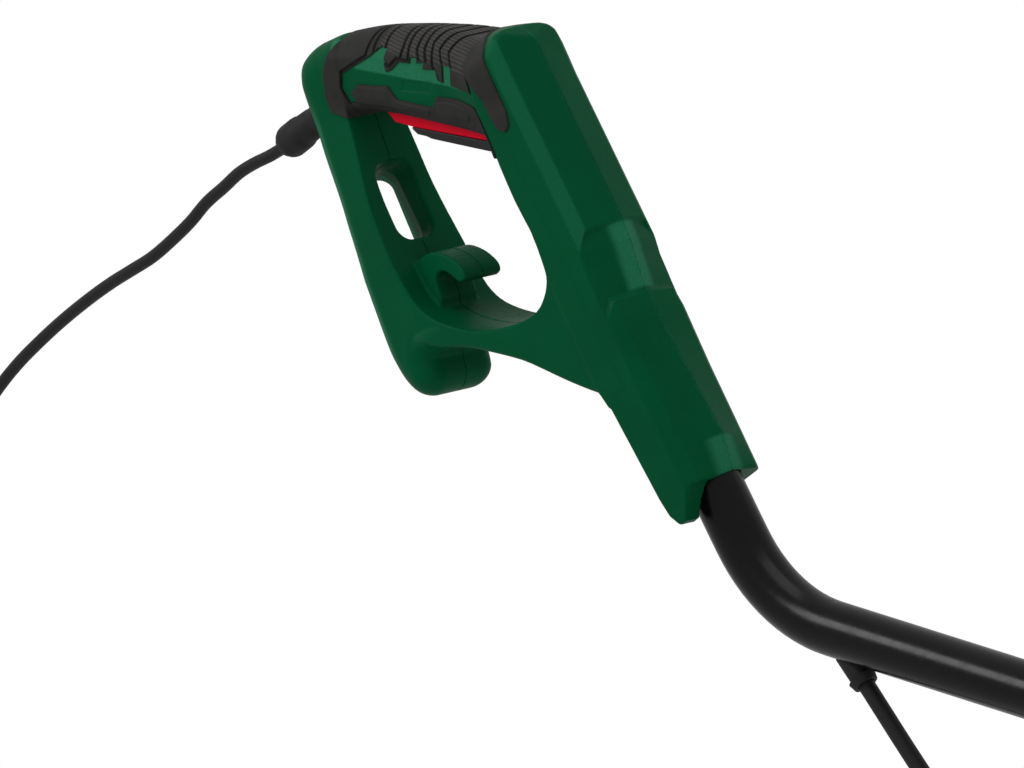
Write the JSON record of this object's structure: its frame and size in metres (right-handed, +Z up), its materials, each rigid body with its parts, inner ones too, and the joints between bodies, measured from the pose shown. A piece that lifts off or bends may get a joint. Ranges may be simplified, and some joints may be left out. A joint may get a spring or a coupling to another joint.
{
  "type": "string trimmer",
  "caption": "Corded garden string trimmer with a looped rear handle, bent tube, adjustable front bow and tilting motor head with guard and line spool.",
  "frame": {"origin": "middle of the rear grip, on the plane of symmetry, with the trimmer in its working posture", "axes": "+X forward, +Y to the user's left, +Z up; the straight tube run slopes down at 35 degrees"},
  "size_m": [1.4645, 0.3304, 0.9648],
  "materials": {
    "green_shell": "fine-textured moulded plastic",
    "soft_black": "matt soft-touch overmould",
    "red_plastic": "satin moulded plastic",
    "black_plastic": "fine-textured moulded plastic",
    "pale_plastic": "satin",
    "black_rubber": "matt moulded rubber",
    "black_cable": "satin cable sheath",
    "black_tube": "gloss powder coat",
    "screw_steel": "zinc plated",
    "spring_steel": "drawn wire",
    "bearing_steel": "ground steel",
    "laminated_steel": "varnished laminations and copper",
    "blade_steel": "stamped steel",
    "plated_brass": "nickel-plated brass",
    "line_nylon": "extruded nylon",
    "hoop_steel": "bright zinc-plated wire"
  },
  "bodies": {
    "frame": {"housing_right": "green_shell", "housing_left": "green_shell", "housing_screws": "screw_steel", "grip_overmould": "soft_black", "trigger_pin": "screw_steel", "trigger_spring": "spring_steel", "switch": "black_plastic", "capacitor": "pale_plastic", "cord_clamp": "black_plastic", "clamp_screws": "screw_steel", "cable_boot": "black_rubber", "mains_cord": "black_cable", "plug_body": "black_rubber", "plug_pins": "plated_brass", "upper_tube": "black_tube", "tube_bolt": "screw_steel", "cable_grommet": "black_rubber", "motor_cable": "black_cable", "lower_tube": "black_tube", "coupling_sleeve": "black_plastic", "coupling_screws": "screw_steel", "cable_clips": "black_plastic", "saddle_upper": "black_plastic", "saddle_lower": "black_plastic", "saddle_screws": "screw_steel", "handle_bolt": "screw_steel", "head_yoke": "black_plastic", "yoke_screws": "screw_steel", "tilt_pin": "screw_steel", "tilt_spring": "spring_steel"},
    "trigger_lever": {"trigger": "red_plastic", "trigger_pad": "soft_black"},
    "lock_off": {"lock_off_button": "red_plastic"},
    "front_handle": {"bow": "black_plastic", "bow_grip": "soft_black"},
    "clamp_knob": {"handle_knob": "black_plastic"},
    "tilt_release": {"tilt_button": "red_plastic"},
    "head": {"motor_housing": "green_shell", "motor_cover": "black_plastic", "cover_screws": "screw_steel", "motor_stator": "laminated_steel", "motor_bearings": "bearing_steel", "guard": "black_plastic", "guard_screws": "screw_steel", "cutter_blade": "blade_steel"},
    "spinner": {"motor_rotor": "laminated_steel", "cooling_fan": "black_plastic", "spool_hub": "black_plastic", "spool": "black_plastic", "line_eyelets": "blade_steel", "cutting_line": "line_nylon", "spool_spring": "spring_steel"},
    "bump_knob": {"bump_cap": "black_plastic"},
    "plant_hoop": {"plant_guard": "hoop_steel"}
  },
  "joints": [
    {"name": "trigger_pull", "type": "hinge", "parent": "frame", "child": "trigger_lever", "pos_m": [0.04503, 0, -0.04784], "axis": [0, 1, 0], "range_deg": [0, 6], "stiffness_Nm_per_rad": 0.6, "springref_deg": -5.73},
    {"name": "lock_off_press", "type": "slide", "parent": "frame", "child": "lock_off", "axis": [0, -1, 0], "range_m": [0, 0.004], "stiffness_N_per_m": 400, "springref_m": -0.002},
    {"name": "front_handle_tilt", "type": "hinge", "parent": "frame", "child": "front_handle", "pos_m": [0.32518, 0, -0.45816], "axis": [0, 1, 0], "range_deg": [-30, 25]},
    {"name": "clamp_knob_turn", "type": "hinge", "parent": "frame", "child": "clamp_knob", "pos_m": [0.32518, 0, -0.45816], "axis": [0, 1, 0], "continuous": true},
    {"name": "tilt_release_press", "type": "slide", "parent": "frame", "child": "tilt_release", "axis": [-0.5736, 0, -0.8192], "range_m": [0, 0.003], "stiffness_N_per_m": 500, "springref_m": -0.002},
    {"name": "head_tilt", "type": "hinge", "parent": "frame", "child": "head", "pos_m": [0.74294, 0, -0.78731], "axis": [0, 1, 0], "range_deg": [-30, 20]},
    {"name": "spool_spin", "type": "hinge", "parent": "head", "child": "spinner", "pos_m": [0.81294, 0, -0.89931], "axis": [0, 0, 1], "continuous": true},
    {"name": "bump_press", "type": "slide", "parent": "spinner", "child": "bump_knob", "axis": [0, 0, 1], "range_m": [0, 0.005], "stiffness_N_per_m": 900, "springref_m": -0.004, "deforming": ["spool_spring"]},
    {"name": "plant_guard_flip", "type": "hinge", "parent": "head", "child": "plant_hoop", "pos_m": [0.81294, 0, -0.85431], "axis": [0, 1, 0], "range_deg": [-100, 0]}
  ]
}
